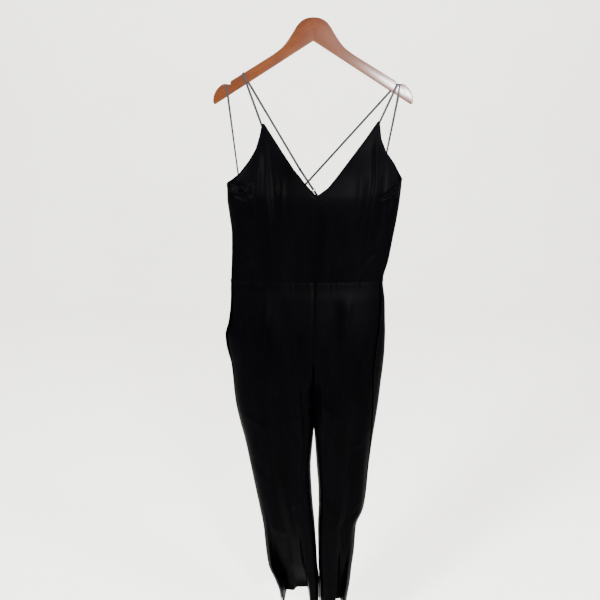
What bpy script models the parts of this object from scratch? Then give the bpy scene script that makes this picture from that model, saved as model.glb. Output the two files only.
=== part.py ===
"""A sleeveless velvet jumpsuit with narrow straps, hung on a wooden hanger.

Metres, +Z up, +X to the garment's left-hand side as seen from the front, +Y
towards its back.  The origin is the apex of the hanger's underside, half way
through the wood.  "left" and "right" in the names are as seen from the front.

Every cloth panel is a thin wall on a closed ring around the body or a leg.
A ring at height z runs by an angle: 0 at the outer side, positive round the
front, negative round the back.  Its width and depth come from short tables.
"""

import math

import bmesh
import bpy
import numpy as np
from mathutils import Vector

MM = 0.001

# Driving dimensions
CLOTH = 1.5 * MM  # thickness of a panel
SEAM = 0.3 * MM  # gap between two pieces at a seam
POCKET_CLOTH = 1.2 * MM
WAIST_Z = -538 * MM
CROTCH_Z = -812 * MM
RISE_TOP_Z = -640 * MM  # where the front and back rise begin to curve in
CENTRE_X = 4 * MM
WOOD = 12 * MM  # hanger thickness
WOOD_ROUND = 1.5 * MM
ARM_FALL = 0.606  # drop of the hanger's underside for each unit outwards
ARM_TOP = (87.5 * MM, -27.6 * MM)  # where the upper edge becomes straight, x and z
ARM_TOP_FALL = 0.583
ARM_UP = (0.864, 0.504)  # along the left arm's upper edge, towards the middle, x and z
NOTCH = (183.4 * MM, 193.8 * MM)  # from the middle, inner and outer wall
NOTCH_Z = -89.9 * MM
BODICE_ROWS = 11  # the same on the front and the back, so that their seams match
STRAP_WIDTH = 4 * MM
STRAP = 1.2 * MM
LOOP_WIDTH = 3 * MM
LOOP = 0.8 * MM
RING_RADIUS = 4 * MM
RING_WIRE = 0.6 * MM
TAB_DEPTH = {"left": 2.5 * MM, "right": 3.2 * MM}  # from the back's inner face to the middle of a tab
LOOP_DEPTH = {"left": 2.6 * MM, "right": 2.1 * MM}  # how far in its ends are sewn


def table(columns, *rows):
    """{column name: its values in metres} from rows in millimetres."""
    return {name: np.array(values) * MM for name, values in zip(columns.split(), zip(*rows))}


# Rings round the body: outer edges at each side, and how far the front and the
# back stand out from the side seams.
BODY = table(
    "z left right front back",
    (-160, -197, 205, 9, 8),
    (-230, -197, 205, 18, 14),
    (-300, -197, 205, 33, 25),
    (-340, -197, 202.5, 38, 30),
    (-381, -193, 198, 36, 31),
    (-423, -189, 191.5, 31, 29),
    (-488, -191, 181, 26, 26),
    (-538, -194.5, 170, 24, 25),
    (-588, -196.3, 176, 31, 32),
    (-640, -203, 178.5, 38, 39),
    (-675, -212, 180, 41, 43),
    (-703, -210, 180, 42, 45),
    (-748, -200, 178, 42, 46),
    (-794, -195.6, 174, 42, 46),
    (-852, -190.6, 169, 42, 46),
)

# Rings round the legs, from the crotch down.
LEGS = table(
    "z left_out left_in right_in right_out front back",
    (-812, -194.4, 3.8, 4.2, 172.6, 42, 46),
    (-852, -190.6, 4.6, 5.4, 169.2, 41, 45),
    (-905, -181, 6.0, 7.0, 163.2, 40, 43),
    (-952, -170.3, 3.5, 10.5, 157.5, 38, 41),
    (-1040, -155, -2.5, 16.6, 149.5, 36, 38),
    (-1110, -143.2, 0.5, 21.5, 145.3, 35, 37),
    (-1155, -135.5, 3.8, 22.2, 139.5, 34, 37),
    (-1212, -126.3, 9.0, 20.8, 121, 33, 37),
    (-1290, -120, 14.2, 22.0, 117, 31, 40),
    (-1338, -114, 17.0, 23.0, 112, 30, 46),
    (-1390, -95, 22.0, 25.6, 107.5, 30, 53),
    (-1425, -84.5, 23.0, 26.6, 103, 29, 57),
    (-1468, -79, 23.5, 27.2, 97.5, 29, 59),
)

# Upper edge of the front, by how far across it is from left to right.
FRONT_EDGE = table(
    "across z",
    (0, -303),
    (58.7, -284),
    (118, -254),
    (156, -229),
    (180, -199),
    (193, -174),
    (207.5, -173.5),
    (309, -234),
    (380, -274),
    (450.8, -306),
    (522, -332),
    (583, -314),
    (637.3, -286),
    (717, -246.5),
    (796, -206.5),
    (865, -168.2),
    (876, -169),
    (888, -207),
    (914, -233),
    (963.4, -261),
    (1000, -291),
)

# Upper edge of the back, the same way.
BACK_EDGE = table(
    "across z",
    (0, -306),
    (150, -321),
    (350, -346),
    (500, -352.5),
    (650, -346),
    (850, -318),
    (1000, -294),
)

# How far each side seam lies inwards from the edge of the ring, on the front.
SIDE_SEAMS = table(
    "z left right",
    (-290, 0.5, 0.5),
    (-450, 1, 3),
    (-538, 2, 6),
    (-600, 3, 11),
    (-748, 3, 26),
    (-830, 1, 18),
    (-1000, 1, 4),
    (-1468, 1, 1),
)

# How far a pocket's mouth gapes, measured along the front from the side seam.
POCKET_MOUTHS = table(
    "z left right",
    (-562, 0, 0),
    (-600, 4, 3),
    (-660, 8, 5),
    (-700, 7, 4),
    (-745, 0, 0),
)
POCKET_TOP_Z = -556 * MM
POCKET_END_Z = -752 * MM
POCKET_GAP = 0.9 * MM  # from the front's inner face to the facing
POCKET_COLUMNS = 6
POCKET_REACH = 34 * MM  # how far the pocket's facing runs in from the side seam

# The largest folds.  across runs from 0 at the outer side to 1000 at the middle
# of the garment (on the bodice, at the other side); out is how far the cloth
# moves outwards, less than nothing for a trough.
FOLDS = {
    "bodice_front": table(
        "across_top z_top across_end z_end width out",
        (215, -200, 245, -480, 40, 4),
        (300, -300, 340, -520, 70, -4),
        (850, -210, 830, -450, 45, 4),
        (700, -330, 690, -520, 80, -4),
    ),
    "bodice_back": table(
        "across_top z_top across_end z_end width out",
        (330, -340, 360, -530, 70, 4),
        (620, -340, 600, -530, 80, -4),
    ),
    "front_left": table(
        "across_top z_top across_end z_end width out",
        (600, -560, 640, -900, 90, -4),
        (760, -640, 700, -1450, 90, 6),
        (420, -760, 430, -1430, 130, -7),
    ),
    "front_right": table(
        "across_top z_top across_end z_end width out",
        (700, -570, 720, -860, 90, -4),
        (600, -700, 560, -1460, 110, 6),
        (330, -820, 330, -1466, 120, -7),
    ),
    "back_left": table(
        "across_top z_top across_end z_end width out",
        (560, -640, 560, -1440, 120, -7),
        (300, -700, 300, -1300, 110, 5),
    ),
    "back_right": table(
        "across_top z_top across_end z_end width out",
        (520, -640, 540, -1440, 120, -7),
        (800, -800, 760, -1400, 110, 5),
    ),
}

# Where the cloth is pushed in from the front towards the hem, between two places across.
HEM_FOLDS = {
    "front_left": table("start end soft depth z_top", (150, 800, 90, 62, -1130)),
    "front_right": table("start end soft depth z_top", (215, 350, 90, 40, -1230)),
}

HEM_Z = {"left": -1455 * MM, "right": -1466 * MM}


def clear_scene():
    for thing in list(bpy.data.objects):
        bpy.data.objects.remove(thing, do_unlink=True)


def material(name, colour, roughness, metallic=0.0):
    made = bpy.data.materials.new(name)
    made.use_nodes = True
    shader = made.node_tree.nodes["Principled BSDF"]
    shader.inputs["Base Color"].default_value = (*colour, 1)
    shader.inputs["Roughness"].default_value = roughness
    shader.inputs["Metallic"].default_value = metallic
    return made


def add_object(name, mesh_data, finish, smooth_angle=None):
    """An object of the bmesh, its faces turned outwards."""
    bmesh.ops.recalc_face_normals(mesh_data, faces=mesh_data.faces)
    mesh = bpy.data.meshes.new(name)
    mesh_data.to_mesh(mesh)
    mesh_data.free()
    mesh.materials.append(finish)
    if smooth_angle is not None:
        mesh.shade_smooth()
        mesh.set_sharp_from_angle(angle=smooth_angle)
    made = bpy.data.objects.new(name, mesh)
    bpy.context.scene.collection.objects.link(made)
    return made


def place(x, z, y=0.0):
    """A point from millimetres: across, up, and then back."""
    return Vector((x * MM, y * MM, z * MM))


# ---- smooth values -------------------------------------------------------


def slopes(xs, ys):
    """Slopes at each row of a table that keep a cubic through it from overshooting."""
    steps = np.diff(ys) / np.diff(xs)
    inner = np.where(
        steps[:-1] * steps[1:] > 0,
        2 * steps[:-1] * steps[1:] / (steps[:-1] + steps[1:] + 1e-12),
        0,
    )
    return np.concatenate([steps[:1], inner, steps[-1:]])


def read(rows, column, z, key="z"):
    """A column's value at z, on a smooth curve through the rows."""
    xs, ys = rows[key], rows[column]
    if xs[0] > xs[-1]:
        xs, ys = xs[::-1], ys[::-1]
    z = min(max(z, xs[0]), xs[-1])
    i = min(int(np.searchsorted(xs, z, side="right")) - 1, len(xs) - 2)
    slope = slopes(xs, ys)
    h = xs[i + 1] - xs[i]
    t = (z - xs[i]) / h
    return (
        (2 * t**3 - 3 * t**2 + 1) * ys[i]
        + (t**3 - 2 * t**2 + t) * h * slope[i]
        + (3 * t**2 - 2 * t**3) * ys[i + 1]
        + (t**3 - t**2) * h * slope[i + 1]
    )


def step(t):
    """0 below 0, 1 above 1, and smooth between."""
    t = min(max(t, 0.0), 1.0)
    return t * t * (3 - 2 * t)


def smooth_path(points, per_span):
    """Points on a Catmull-Rom curve through the given points."""
    points = [Vector(p) for p in points]
    ends = [2 * points[0] - points[1]] + points + [2 * points[-1] - points[-2]]
    path = []
    for a, b, c, d in zip(ends, ends[1:], ends[2:], ends[3:]):
        for k in range(per_span):
            t = k / per_span
            path.append(
                0.5
                * (2 * b + (c - a) * t + (2 * a - 5 * b + 4 * c - d) * t**2
                   + (3 * b - a - 3 * c + d) * t**3)
            )
    return path + [points[-1]]


# ---- the cloth's surface -------------------------------------------------


def flatten(depth):
    """A ring's half-round depth, from -1 to 1, made a little flatter in the middle."""
    return depth * (1 + 0.35 * (1 - depth * depth))


def fold_out(rows, across, z):
    """How far the folds of one panel move its cloth outwards."""
    out = 0.0
    for top, z_top, end, z_end, width, height in zip(
        *(rows[c] for c in "across_top z_top across_end z_end width out".split())
    ):
        along = (z_top - z) / (z_top - z_end)
        if not 0 < along < 1:
            continue
        place = top + (end - top) * along
        fade = step(along / 0.25) * step((1 - along) / 0.2)
        out += height * fade * math.exp(-(((across - place) / width) ** 2))
    return out


def hem_push(rows, across, z):
    """How far the cloth is pushed in near a hem."""
    push = 0.0
    for start, end, soft, depth, z_top in zip(
        *(rows[c] for c in "start end soft depth z_top".split())
    ):
        grow = step((z_top - z) / (z_top + 1.46)) ** 1.3 if z < z_top else 0.0
        push += depth * grow * step((across - start + soft) / soft) * step((end + soft - across) / soft)
    return push


def body_point(z, angle):
    """On the bodice: angle 0 at the left, positive round the front to pi at the right."""
    left, right = read(BODY, "left", z), read(BODY, "right", z)
    across = (1 - math.cos(angle)) / 2
    half_round = flatten(math.sin(angle))
    front = math.sin(angle) > 0
    panel = "bodice_front" if front else "bodice_back"
    depth = read(BODY, "front" if front else "back", z) * half_round
    fold = fold_out(FOLDS[panel], across, z) * half_round
    return Vector((left + (right - left) * across, -(depth + fold), z))


def rise_blend(z, across):
    """0 where the ring goes round the hips, 1 where it goes round one leg.  At the
    middle seam it follows the quarter round of the rise, down to the crotch."""
    t = min(max((RISE_TOP_Z - z) / (RISE_TOP_Z - CROTCH_Z), 0.0), 1.0)
    rise = 1 - math.sqrt(1 - t * t)
    away = step((RISE_TOP_Z + 40 * MM - z) / (RISE_TOP_Z - CROTCH_Z + 150 * MM))
    return away + (rise - away) * across**6


def leg_edges(side, z):
    """x of a trouser half's outer edge and of its inner edge."""
    if z > CROTCH_Z:
        return read(BODY, side, z), CENTRE_X
    return read(LEGS, side + "_out", z), read(LEGS, side + "_in", z)


def leg_point(side, z, angle):
    """On one half of the trousers: angle 0 at the outer side, positive round the
    front to pi at the middle or inner leg, negative round the back."""
    outer, inner = leg_edges(side, z)
    across = (1 - math.cos(angle)) / 2
    blend = rise_blend(z, across)
    hip_round = flatten(math.sin(angle / 2) * math.sqrt(2 - across))
    leg_round = flatten(math.sin(angle))
    half_round = (1 - blend) * hip_round + blend * leg_round
    face = "front" if angle > 0 else "back"
    rows = BODY if z > CROTCH_Z else LEGS
    panel = f"{face}_{side}"
    depth = read(rows, face, z) * half_round
    depth += fold_out(FOLDS[panel], across, z) * leg_round
    if panel in HEM_FOLDS:
        depth -= hem_push(HEM_FOLDS[panel], across, z) * min(abs(leg_round) * 2, 1)
    return Vector((outer + (inner - outer) * across, -depth, z))


def seam_angle(rows_width, inset):
    """The ring's angle where its edge has come in by inset."""
    return math.acos(1 - 2 * inset / abs(rows_width))


def normal(surface, z, angle, turn, low, high):
    """Outward normal of a surface, from points close by and within its angles."""
    a0, a1 = max(angle - 0.02, low), min(angle + 0.02, high)
    across = surface(z, a1) - surface(z, a0)
    up = surface(z + 0.001, angle) - surface(z - 0.001, angle)
    return (across.cross(up) * turn).normalized()


def wall_mesh(outer, inner):
    """A closed bmesh between two grids of points, equal in rows and columns."""
    made = bmesh.new()
    skins = [[[made.verts.new(p) for p in column] for column in grid] for grid in (outer, inner)]
    columns, rows = len(outer), len(outer[0])
    for skin in skins:
        for i in range(columns - 1):
            for j in range(rows - 1):
                made.faces.new(
                    (skin[i][j], skin[i + 1][j], skin[i + 1][j + 1], skin[i][j + 1])
                )
    rim = [(i, 0) for i in range(columns)]
    rim += [(columns - 1, j) for j in range(1, rows)]
    rim += [(i, rows - 1) for i in range(columns - 2, -1, -1)]
    rim += [(0, j) for j in range(rows - 2, 0, -1)]
    for (i, j), (k, m) in zip(rim, rim[1:] + rim[:1]):
        made.faces.new((skins[0][i][j], skins[0][k][m], skins[1][k][m], skins[1][i][j]))
    bmesh.ops.triangulate(made, faces=made.faces)
    return made


# ---- bodice --------------------------------------------------------------


def bodice_seam(side, z, gap_side):
    """Angle of a bodice side seam, moved half the seam's gap to the front (+1) or back (-1)."""
    width = read(BODY, "right", z) - read(BODY, "left", z)
    angle = seam_angle(width, read(SIDE_SEAMS, side, z))
    angle = angle if side == "left" else math.pi - angle
    towards_front = gap_side if side == "left" else -gap_side
    ahead = (body_point(z, angle + 0.01) - body_point(z, angle)).length / 0.01
    return angle + towards_front * SEAM / 2 / ahead


def bodice_panel(name, edge, columns, rows, face, finish):
    """The front (face 1) or the back (-1), from the waist seam up to its edge."""
    outer, inner = [], []
    for share in columns:
        column_out, column_in = [], []
        top = read(edge, "z", share, key="across")
        low = WAIST_Z + SEAM / 2
        round_share = math.acos(1 - 2 * share) / math.pi
        for j in range(rows + 1):
            z = low + (top - low) * j / rows
            start, end = bodice_seam("left", z, face), bodice_seam("right", z, face)
            if face < 0:
                start += 2 * math.pi
            angle = start + (end - start) * round_share
            point = body_point(z, angle)
            out = normal(body_point, z, angle, 1, -10, 10)
            column_out.append(point)
            column_in.append(point - out * CLOTH)
        outer.append(column_out)
        inner.append(column_in)
    return add_object(name, wall_mesh(outer, inner), finish, math.radians(50))


def spread(rows, between):
    """A table's places across, with more columns where they are far apart round the ring."""
    places = [0.0]
    for a, b in zip(rows["across"], rows["across"][1:]):
        one, two = math.acos(1 - 2 * a), math.acos(1 - 2 * b)
        parts = max(1, math.ceil((two - one) / between))
        places += [(1 - math.cos(one + (two - one) * k / parts)) / 2 for k in range(1, parts + 1)]
    return places


# ---- trousers ------------------------------------------------------------


def side_seam(side, z, gap_side):
    """Angle of a trouser side seam on its half, moved half the gap to the front or back."""
    outer, inner = leg_edges(side, z)
    angle = seam_angle(inner - outer, read(SIDE_SEAMS, side, z))
    ahead = (leg_point(side, z, angle + 0.01) - leg_point(side, z, angle)).length / 0.01
    return angle + gap_side * SEAM / 2 / ahead


def mouth_angle(side, z):
    """How far the front's edge stands back from the side seam, at a pocket's mouth."""
    top, end = POCKET_MOUTHS["z"][0], POCKET_MOUTHS["z"][-1]
    if not end < z < top:
        return 0.0
    angle = side_seam(side, z, 1)
    ahead = (leg_point(side, z, angle + 0.01) - leg_point(side, z, angle)).length / 0.01
    return read(POCKET_MOUTHS, side, z) / ahead


def trouser_levels(hem):
    """Heights of the rows, from the waist to the hem, with one exactly at the crotch."""
    upper = np.linspace(WAIST_Z - SEAM / 2, CROTCH_Z, 13)
    lower = np.linspace(CROTCH_Z, hem, 16)
    near = [CROTCH_Z + 12 * MM, CROTCH_Z + 4 * MM, CROTCH_Z - 6 * MM]
    return sorted({*map(float, upper), *map(float, lower), *near}, reverse=True)


def trouser_panel(name, side, face, columns, crowd, finish):
    """Half of a trouser leg and hip: face 1 is the front, -1 the back.  crowd over 1
    brings the columns closer together towards the side seam."""
    hand = 1 if side == "left" else -1
    outer, inner = [], []
    levels = trouser_levels(HEM_Z[side])
    for k in range(columns + 1):
        column_out, column_in = [], []
        for z in levels:
            start = side_seam(side, z, face)
            if face > 0:
                start += mouth_angle(side, z)
            angle = start + (face * math.pi - start) * (k / columns) ** crowd
            low, high = (-10, math.pi) if face > 0 else (-math.pi, 10)
            point = leg_point(side, z, angle)
            out = normal(lambda h, a: leg_point(side, h, a), z, angle, hand, low, high)
            if k == columns:
                if z > CROTCH_Z + MM:
                    point.x -= hand * SEAM / 2
                    out.x = 0
                elif z < CROTCH_Z - MM:
                    point.y -= face * SEAM / 2
                    out = Vector((hand, 0, 0))
                else:
                    point.x -= hand * SEAM / 2
                    point.y -= face * SEAM / 2
                    out = Vector((0, 0, -1))
                out.normalize()
            column_out.append(point)
            column_in.append(point - out * CLOTH)
        outer.append(column_out)
        inner.append(column_in)
    return add_object(name, wall_mesh(outer, inner), finish, math.radians(50))


def pocket_facing(name, side, finish):
    """The strip that shows in a pocket's mouth, just inside the front."""
    hand = 1 if side == "left" else -1
    outer, inner = [], []
    levels = [z for z in trouser_levels(HEM_Z[side]) if POCKET_END_Z < z < POCKET_TOP_Z]
    for k in range(POCKET_COLUMNS + 1):
        column_out, column_in = [], []
        for z in levels:
            start = side_seam(side, z, 1)
            ahead = (leg_point(side, z, start + 0.01) - leg_point(side, z, start)).length / 0.01
            angle = start + POCKET_REACH / ahead * k / POCKET_COLUMNS
            point = leg_point(side, z, angle)
            out = normal(lambda h, a: leg_point(side, h, a), z, angle, hand, -10, 10)
            column_out.append(point - out * (CLOTH + POCKET_GAP))
            column_in.append(point - out * (CLOTH + POCKET_GAP + POCKET_CLOTH))
        outer.append(column_out)
        inner.append(column_in)
    return add_object(name, wall_mesh(outer, inner), finish, math.radians(50))


# ---- narrow pieces -------------------------------------------------------


def sweep(name, path, across, section, finish, closed=False):
    """A section carried along a path.  across is the section's width direction, one
    for the whole path or one at each point."""
    made = bmesh.new()
    path = [Vector(p) for p in path]
    count = len(path)
    hints = across if isinstance(across, list) else [across] * count
    rings = []
    for i, point in enumerate(path):
        if closed:
            before, after = path[i - 1], path[(i + 1) % count]
        else:
            before, after = path[max(i - 1, 0)], path[min(i + 1, count - 1)]
        ahead = (after - before).normalized()
        wide = Vector(hints[i])
        wide = (wide - ahead * wide.dot(ahead)).normalized()
        out = ahead.cross(wide)
        rings.append([made.verts.new(point + wide * w + out * o) for w, o in section])
    pairs = list(zip(rings, rings[1:])) + ([(rings[-1], rings[0])] if closed else [])
    corners = len(section)
    for one, two in pairs:
        for k in range(corners):
            m = (k + 1) % corners
            made.faces.new((one[k], one[m], two[m], two[k]))
    if not closed:
        made.faces.new(rings[0])
        made.faces.new(rings[-1])
    bmesh.ops.triangulate(made, faces=made.faces)
    return add_object(name, made, finish, math.radians(40))


def ribbon_section(width, thick):
    return [(-width / 2, -thick / 2), (width / 2, -thick / 2), (width / 2, thick / 2), (-width / 2, thick / 2)]


def arc(centre, along, out, radius, start, end, steps):
    """Points round centre in the plane of two directions."""
    turns = [start + (end - start) * k / steps for k in range(steps + 1)]
    return [centre + along * (radius * math.cos(t)) + out * (radius * math.sin(t)) for t in turns]


def over_wood(x, z, lean, clear):
    """Centre line over the hanger's upper edge at (x, z), from its front to its back.
    lean is how x changes for each unit down, on the front and on the back."""
    face = WOOD / 2 + clear
    corner = WOOD_ROUND + clear
    points = []
    for sign, slant in ((-1, lean[0]), (1, lean[1])):
        side = []
        for k in range(4):
            turn = math.radians(90 * k / 3)
            down = corner * (1 - math.sin(turn)) - clear
            y = sign * (face - corner + corner * math.cos(turn))
            side.append(Vector((x + slant * max(down, 0), y, z - down)))
        points += side if sign < 0 else side[::-1]
    return points


def strap_run(name, start, hanger, lean, wood_end, knots, across, finish):
    """A strap: from inside a strap point up the front of the hanger, over it, and down
    the back to its ring, through the ring and back up to its slider.
    knots are the slider, the ring and the place where the tab is sewn."""
    clear = SEAM + STRAP / 2
    slider, ring, sewn = (Vector(k) for k in knots)
    top = over_wood(hanger[0], hanger[1], lean, clear)
    down = (sewn - ring).normalized()
    out = down.cross(Vector(across[2])).normalized()
    out = out if out.y < 0 else -out
    turn_radius = RING_WIRE + 0.27 * MM + SEAM + STRAP / 2
    turn = ring - down * (RING_RADIUS - 0.27 * MM)
    apart = 1.3 * MM
    path = [*start, *top, wood_end]
    hints = [across[0]] * len(start) + [across[1]] * len(top) + [across[2]]
    to_slider = [wood_end.lerp(slider + out * apart, t) for t in (0.35, 0.7)]
    under = arc(turn, down, out, turn_radius, math.pi / 2, -math.pi / 2, 8)
    back_up = [slider - out * apart, slider - out * apart - (ring - slider).normalized() * 4 * MM]
    tail = [*to_slider, slider + out * apart, *under, *back_up]
    path += tail
    hints += [across[2]] * len(tail)
    return sweep(name, path, hints, ribbon_section(STRAP_WIDTH, STRAP), finish)


def strap_tab(name, knots, across, finish):
    """The short ribbon folded through the ring and sewn inside the back's upper edge."""
    slider, ring, sewn = (Vector(k) for k in knots)
    down = (sewn - ring).normalized()
    out = down.cross(Vector(across)).normalized()
    out = out if out.y < 0 else -out
    turn_radius = RING_WIRE + 0.27 * MM + SEAM + STRAP / 2
    turn = ring + down * (RING_RADIUS - 0.27 * MM)
    near = STRAP / 2 + 0.1 * MM
    length = (sewn - turn).length
    ends = [sewn + out * near, turn + down * (length * 0.45) + out * near]
    fold = arc(turn, down, out, turn_radius, math.pi / 2, 3 * math.pi / 2, 8)
    back = [turn + down * (length * 0.45) - out * near, sewn - out * near]
    path = [*ends, *fold, *back]
    return sweep(name, path, Vector(across), ribbon_section(STRAP_WIDTH, STRAP), finish)


def strap_ring(name, knots, across, finish):
    slider, ring, sewn = (Vector(k) for k in knots)
    down = (sewn - ring).normalized()
    wide = Vector(across)
    wide = (wide - down * wide.dot(down)).normalized()
    circle = arc(ring, down, wide, RING_RADIUS, 0, 2 * math.pi, 20)[:-1]
    section = [
        (RING_WIRE * math.cos(t), RING_WIRE * math.sin(t))
        for t in (2 * math.pi * k / 8 for k in range(8))
    ]
    return sweep(name, circle, down.cross(wide), section, finish, closed=True)


def strap_slider(name, knots, across, finish):
    """A small frame round both layers of the strap, with a bar between them."""
    slider, ring, sewn = (Vector(k) for k in knots)
    along = (ring - slider).normalized()
    wide = Vector(across)
    wide = (wide - along * wide.dot(along)).normalized()
    out = along.cross(wide)
    widths = [-3.3 * MM, -2.3 * MM, 2.3 * MM, 3.3 * MM]
    depths = [-3.0 * MM, -2.2 * MM, -0.4 * MM, 0.4 * MM, 2.2 * MM, 3.0 * MM]
    half = 1.5 * MM
    made = bmesh.new()
    grid = [[made.verts.new(slider + wide * w + out * d - along * half) for d in depths] for w in widths]
    faces = []
    for i in range(len(widths) - 1):
        for j in range(len(depths) - 1):
            if (i, j) not in ((1, 1), (1, 3)):
                faces.append(made.faces.new((grid[i][j], grid[i + 1][j], grid[i + 1][j + 1], grid[i][j + 1])))
    grown = bmesh.ops.extrude_face_region(made, geom=faces)
    moved = [v for v in grown["geom"] if isinstance(v, bmesh.types.BMVert)]
    bmesh.ops.translate(made, verts=moved, vec=along * 2 * half)
    return add_object(name, made, finish)


def hanger_loop(name, side, sewn, near_sewn, finish):
    """A ribbon from inside the garment's side, up over the hanger's notch and back."""
    clear = SEAM + LOOP / 2
    x = side * 191 * MM
    top = over_wood(x, NOTCH_Z, (0, 0), clear)
    below = Vector((side * 189.4 * MM, 0, -118 * MM))
    face = Vector((0, WOOD / 2 + clear, 0))
    apart = Vector((0, (LOOP + SEAM) / 2, 0))
    sewn, near_sewn = Vector(sewn), Vector(near_sewn)
    path = [sewn - apart, near_sewn - apart, below - face, *top, below + face, near_sewn + apart, sewn + apart]
    return sweep(name, path, Vector((1, 0, 0)), ribbon_section(LOOP_WIDTH, LOOP), finish)


# ---- hanger --------------------------------------------------------------


def arm_top(x):
    """Height of the arm's upper edge at x from the middle."""
    return ARM_TOP[1] - ARM_TOP_FALL * (x - ARM_TOP[0])


def hanger_outline():
    """x and z of the right half, from the middle of the head round to the underside."""
    head = [(0, 47.8), (15, 45.6), (28, 38.8), (37.5, 28), (51.9, 6.2), (68.1, -13.2)]
    crown = smooth_path([place(x, z) for x, z in head] + [(ARM_TOP[0], 0, ARM_TOP[1])], 3)
    points = [(p.x, p.z) for p in crown]
    inner, outer = NOTCH
    points.append((inner - 0.4 * MM, arm_top(inner - 0.4 * MM)))
    points += [(inner, NOTCH_Z), (outer, NOTCH_Z)]
    end = smooth_path([place(195.5, -88.4), place(204, -91.8), place(214.5, -101.5), place(221, -114)], 2)
    points += [(p.x, p.z) for p in [*end, place(222.6, -124.5), place(221.9, -130.2), place(218.6, -132.5)]]
    points.append((0, 0))
    return points


def hanger_half(name, side, finish):
    """One mitred half of the hanger: side is -1 for the left and 1 for the right."""
    made = bmesh.new()
    joint = SEAM / 2
    outline = [(max(x, joint), z - max(joint - x, 0) * ARM_FALL) for x, z in hanger_outline()]
    front = [made.verts.new((side * x, -WOOD / 2, z)) for x, z in outline]
    face = made.faces.new(front)
    grown = bmesh.ops.extrude_face_region(made, geom=[face])
    moved = [v for v in grown["geom"] if isinstance(v, bmesh.types.BMVert)]
    bmesh.ops.translate(made, verts=moved, vec=(0, WOOD, 0))

    def on_rim(edge):
        one, two = edge.verts
        return abs(one.co.y - two.co.y) < 1e-6 and max(abs(one.co.x), abs(two.co.x)) > 2 * joint

    rims = [edge for edge in made.edges if on_rim(edge)]
    bmesh.ops.bevel(
        made, geom=rims, offset=WOOD_ROUND, segments=2, profile=0.5, affect="EDGES", clamp_overlap=False
    )
    bmesh.ops.triangulate(made, faces=made.faces)
    return add_object(name, made, finish, math.radians(35))


# ---- assembly ------------------------------------------------------------


def inside_front(x, z, lift):
    """The point that lies lift inside the bodice front's inner face at x and z."""
    left, right = read(BODY, "left", z), read(BODY, "right", z)
    angle = math.acos(1 - 2 * (x - left) / (right - left))
    point = body_point(z, angle)
    return point - normal(body_point, z, angle, 1, -10, 10) * (CLOTH + lift)


def inside_back(x, z, lift):
    left, right = read(BODY, "left", z), read(BODY, "right", z)
    angle = 2 * math.pi - math.acos(1 - 2 * (x - left) / (right - left))
    point = body_point(z, angle)
    return point - normal(body_point, z, angle, 1, -10, 10) * (CLOTH + lift)


def left_strap(cloth, metal):
    """Over the left arm of the hanger and across to the right of the back."""
    lift = SEAM + STRAP / 2
    start = [inside_front(-112.9 * MM, -182 * MM, lift), inside_front(-115.7 * MM, -175 * MM, lift)]
    sewn = inside_back(28 * MM, -361 * MM, TAB_DEPTH["left"])
    knots = [place(-29.2, -276.7, 20), place(3.5, -326, 24), sewn]
    across = [(0.933, 0, 0.36), (ARM_UP[0], 0, ARM_UP[1]), (0.863, 0, 0.505)]
    x = -154.8 * MM
    wood_end = Vector((-143.7 * MM, WOOD / 2 + lift, -85.5 * MM))
    top = (x, arm_top(-x) + 0.25 * MM)
    strap_run("strap_left", start, top, (0.33, 0.598), wood_end, knots, across, cloth)
    strap_tab("tab_left", knots, across[2], cloth)
    strap_ring("ring_left", knots, across[2], metal)
    strap_slider("slider_left", knots, across[2], metal)


def right_strap(cloth, metal):
    """Over the right notch of the hanger, behind the left strap, to the left of the back."""
    lift = SEAM + STRAP / 2
    start = [inside_front(147 * MM, -177 * MM, lift), inside_front(150 * MM, -170 * MM, lift)]
    sewn = inside_back(-60 * MM, -361 * MM, TAB_DEPTH["right"])
    knots = [place(-20.5, -317.1, 28.2), place(-30.9, -328.7, 26.8), sewn]
    across = [(0.907, 0, -0.42), (1, 0, 0), (0.744, 0, -0.668)]
    wood_end = Vector((172 * MM, WOOD / 2 + lift, -105 * MM))
    top = (186.2 * MM, NOTCH_Z + 0.2 * MM)
    strap_run("strap_right", start, top, (-0.449, -0.908), wood_end, knots, across, cloth)
    strap_tab("tab_right", knots, across[2], cloth)
    strap_ring("ring_right", knots, across[2], metal)
    strap_slider("slider_right", knots, across[2], metal)


def loops(cloth):
    left = inside_back(-165 * MM, -324 * MM, LOOP_DEPTH["left"])
    right = inside_back(156 * MM, -323 * MM, LOOP_DEPTH["right"])
    hanger_loop("loop_left", -1, left, place(-172.5, -288, 13), cloth)
    hanger_loop("loop_right", 1, right, place(162, -285, 11), cloth)


def build():
    clear_scene()
    velvet = material("velvet", (0.008, 0.008, 0.012), 0.9)
    strap_cloth = material("strap_cloth", (0.015, 0.015, 0.018), 0.6)
    black_metal = material("black_metal", (0.02, 0.02, 0.02), 0.35, 0.8)
    light_wood = material("light_wood", (0.52, 0.25, 0.09), 0.35)
    dark_wood = material("dark_wood", (0.42, 0.16, 0.06), 0.35)

    hanger_half("hanger_left", -1, light_wood)
    hanger_half("hanger_right", 1, dark_wood)

    bodice_panel("bodice_front", FRONT_EDGE, spread(FRONT_EDGE, 0.2), BODICE_ROWS, 1, velvet)
    bodice_panel("bodice_back", BACK_EDGE, spread(BACK_EDGE, 0.16), BODICE_ROWS, -1, velvet)
    for side in ("left", "right"):
        trouser_panel(f"trouser_front_{side}", side, 1, 11, 1.3, velvet)
        trouser_panel(f"trouser_back_{side}", side, -1, 9, 1.1, velvet)
        pocket_facing(f"pocket_{side}", side, velvet)
    left_strap(strap_cloth, black_metal)
    right_strap(strap_cloth, black_metal)
    loops(strap_cloth)


build()
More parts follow.
